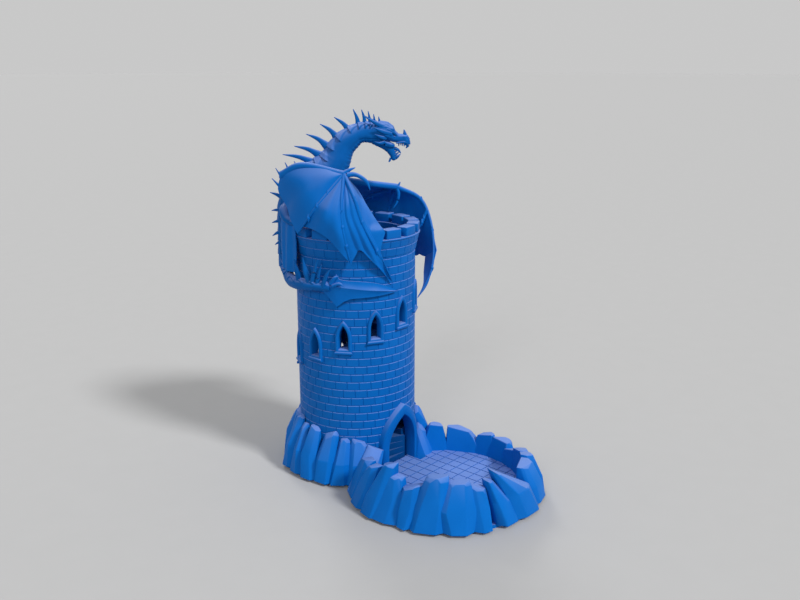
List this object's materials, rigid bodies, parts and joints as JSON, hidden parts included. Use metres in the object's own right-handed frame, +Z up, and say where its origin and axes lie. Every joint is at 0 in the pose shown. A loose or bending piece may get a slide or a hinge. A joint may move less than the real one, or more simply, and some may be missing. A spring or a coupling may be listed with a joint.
{
  "type": "dice tower",
  "caption": "Castle-shaped dice tower: dice drop in at the crown below a dragon, tumble down a spiral stair and roll out of an arched door into a rock-rimmed tray.",
  "frame": {"origin": "tower axis on the flat underside of the base plate", "axes": "+Z up along the tower axis; -Y towards the door and the tray; +X to the right seen from the tray"},
  "size_m": [0.1632, 0.2569, 0.3158],
  "materials": {
    "printed_plastic": "satin moulded blue plastic"
  },
  "bodies": {
    "base": {"base_plate": "printed_plastic", "locating_disc": "printed_plastic", "tray_floor": "printed_plastic", "tower_rocks_left": "printed_plastic", "tower_rocks_rear": "printed_plastic", "tower_rocks_right": "printed_plastic", "tray_rocks_front": "printed_plastic", "tray_rocks_left": "printed_plastic", "tray_rocks_rear": "printed_plastic", "tray_rocks_right": "printed_plastic"},
    "tower": {"door_arch": "printed_plastic", "stair_column": "printed_plastic", "stair_flight_lower": "printed_plastic", "stair_flight_middle": "printed_plastic", "stair_flight_upper": "printed_plastic", "stair_winders": "printed_plastic", "tower_shell_lower": "printed_plastic", "tower_shell_middle": "printed_plastic", "tower_shell_upper": "printed_plastic", "window_frame_01": "printed_plastic", "window_frame_02": "printed_plastic", "window_frame_03": "printed_plastic", "window_frame_04": "printed_plastic", "window_frame_05": "printed_plastic", "window_frame_06": "printed_plastic", "window_frame_07": "printed_plastic", "window_frame_08": "printed_plastic", "window_frame_09": "printed_plastic", "window_frame_10": "printed_plastic", "window_frame_11": "printed_plastic", "window_frame_12": "printed_plastic"},
    "crown": {"back_spines": "printed_plastic", "crown_corbel": "printed_plastic", "crown_ledge": "printed_plastic", "crown_skirt": "printed_plastic", "dragon_head": "printed_plastic", "dragon_horns": "printed_plastic", "dragon_jaw": "printed_plastic", "dragon_neck": "printed_plastic", "dragon_tail": "printed_plastic", "dragon_tongue": "printed_plastic", "dragon_torso": "printed_plastic", "far_wing_arm": "printed_plastic", "far_wing_claws": "printed_plastic", "far_wing_fingers": "printed_plastic", "far_wing_membrane": "printed_plastic", "hind_claws": "printed_plastic", "hind_legs": "printed_plastic", "merlons": "printed_plastic", "near_wing_arm": "printed_plastic", "near_wing_claws": "printed_plastic", "near_wing_fingers": "printed_plastic", "near_wing_membrane": "printed_plastic", "neck_spines": "printed_plastic", "tail_blade": "printed_plastic", "tail_spines": "printed_plastic"}
  },
  "joints": [
    {"name": "tower_lift", "type": "slide", "parent": "base", "child": "tower", "axis": [0, 0, 1], "range_m": [0, 0.06]},
    {"name": "crown_lift", "type": "slide", "parent": "tower", "child": "crown", "axis": [0, 0, 1], "range_m": [0, 0.06]}
  ]
}
